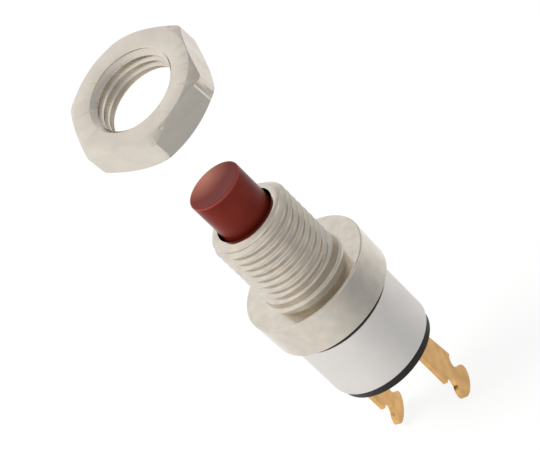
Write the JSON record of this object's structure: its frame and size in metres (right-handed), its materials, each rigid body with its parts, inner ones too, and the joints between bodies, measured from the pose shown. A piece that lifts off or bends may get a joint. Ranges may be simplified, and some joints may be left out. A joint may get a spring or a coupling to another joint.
{
  "type": "pushbutton switch",
  "caption": "Subminiature momentary pushbutton switch with a threaded panel bushing, a round cap, a sleeved case, notched solder lugs and its hex nut shown loose.",
  "frame": {"origin": "centre of the collar's front face, where the bushing's thread begins and the panel seats", "axes": "+Z along the bushing's axis, out through the button; X joins the two solder lugs, which stand at +X and -X; Y runs along the width of the lugs"},
  "size_m": [0.0105, 0.0105, 0.036],
  "materials": {
    "plated_metal": "smooth nickel plate on a turned brass bushing",
    "plated_nut": "satin nickel plate on a brass hex nut",
    "button_red": "dark red moulded plastic",
    "stem_metal": "turned stem",
    "seal_rubber": "black rubber",
    "spring_steel": "bright steel wire and strip",
    "insulator": "natural insulating plastic",
    "contact_metal": "silver-plated contact alloy",
    "sleeve_metal": "satin plated drawn tube",
    "base_plastic": "black moulded thermoset",
    "lug_gold": "gold-plated brass strip"
  },
  "bodies": {
    "case": {"panel_bushing": "plated_metal", "hex_nut": "plated_nut", "return_spring": "spring_steel", "insulating_liner": "insulator", "case_gasket": "seal_rubber", "case_sleeve": "sleeve_metal", "terminal_base": "base_plastic", "solder_lug_right": "lug_gold", "solder_lug_left": "lug_gold", "contact_rivet_right": "contact_metal", "contact_rivet_left": "contact_metal"},
    "button": {"button_cap": "button_red", "plunger": "stem_metal", "stem_o_ring": "seal_rubber", "stop_washer": "spring_steel", "retaining_ring": "spring_steel", "spring_insulator": "insulator", "contact_spring": "spring_steel", "contact_carrier": "insulator", "carrier_washer": "spring_steel"},
    "moving_contact": {"contact_disc": "contact_metal"}
  },
  "joints": [
    {"name": "button_press", "type": "slide", "parent": "case", "child": "button", "axis": [0, 0, -1], "range_m": [0, 0.0009], "stiffness_N_per_m": 900, "springref_m": -0.0012, "deforming": ["return_spring"]},
    {"name": "contact_overtravel", "type": "slide", "parent": "button", "child": "moving_contact", "axis": [0, 0, 1], "range_m": [0, 0.00045], "deforming": ["contact_spring"]}
  ],
  "couplings": [
    {"joint": "contact_overtravel", "follows": "button_press", "ratio": 0.5}
  ]
}
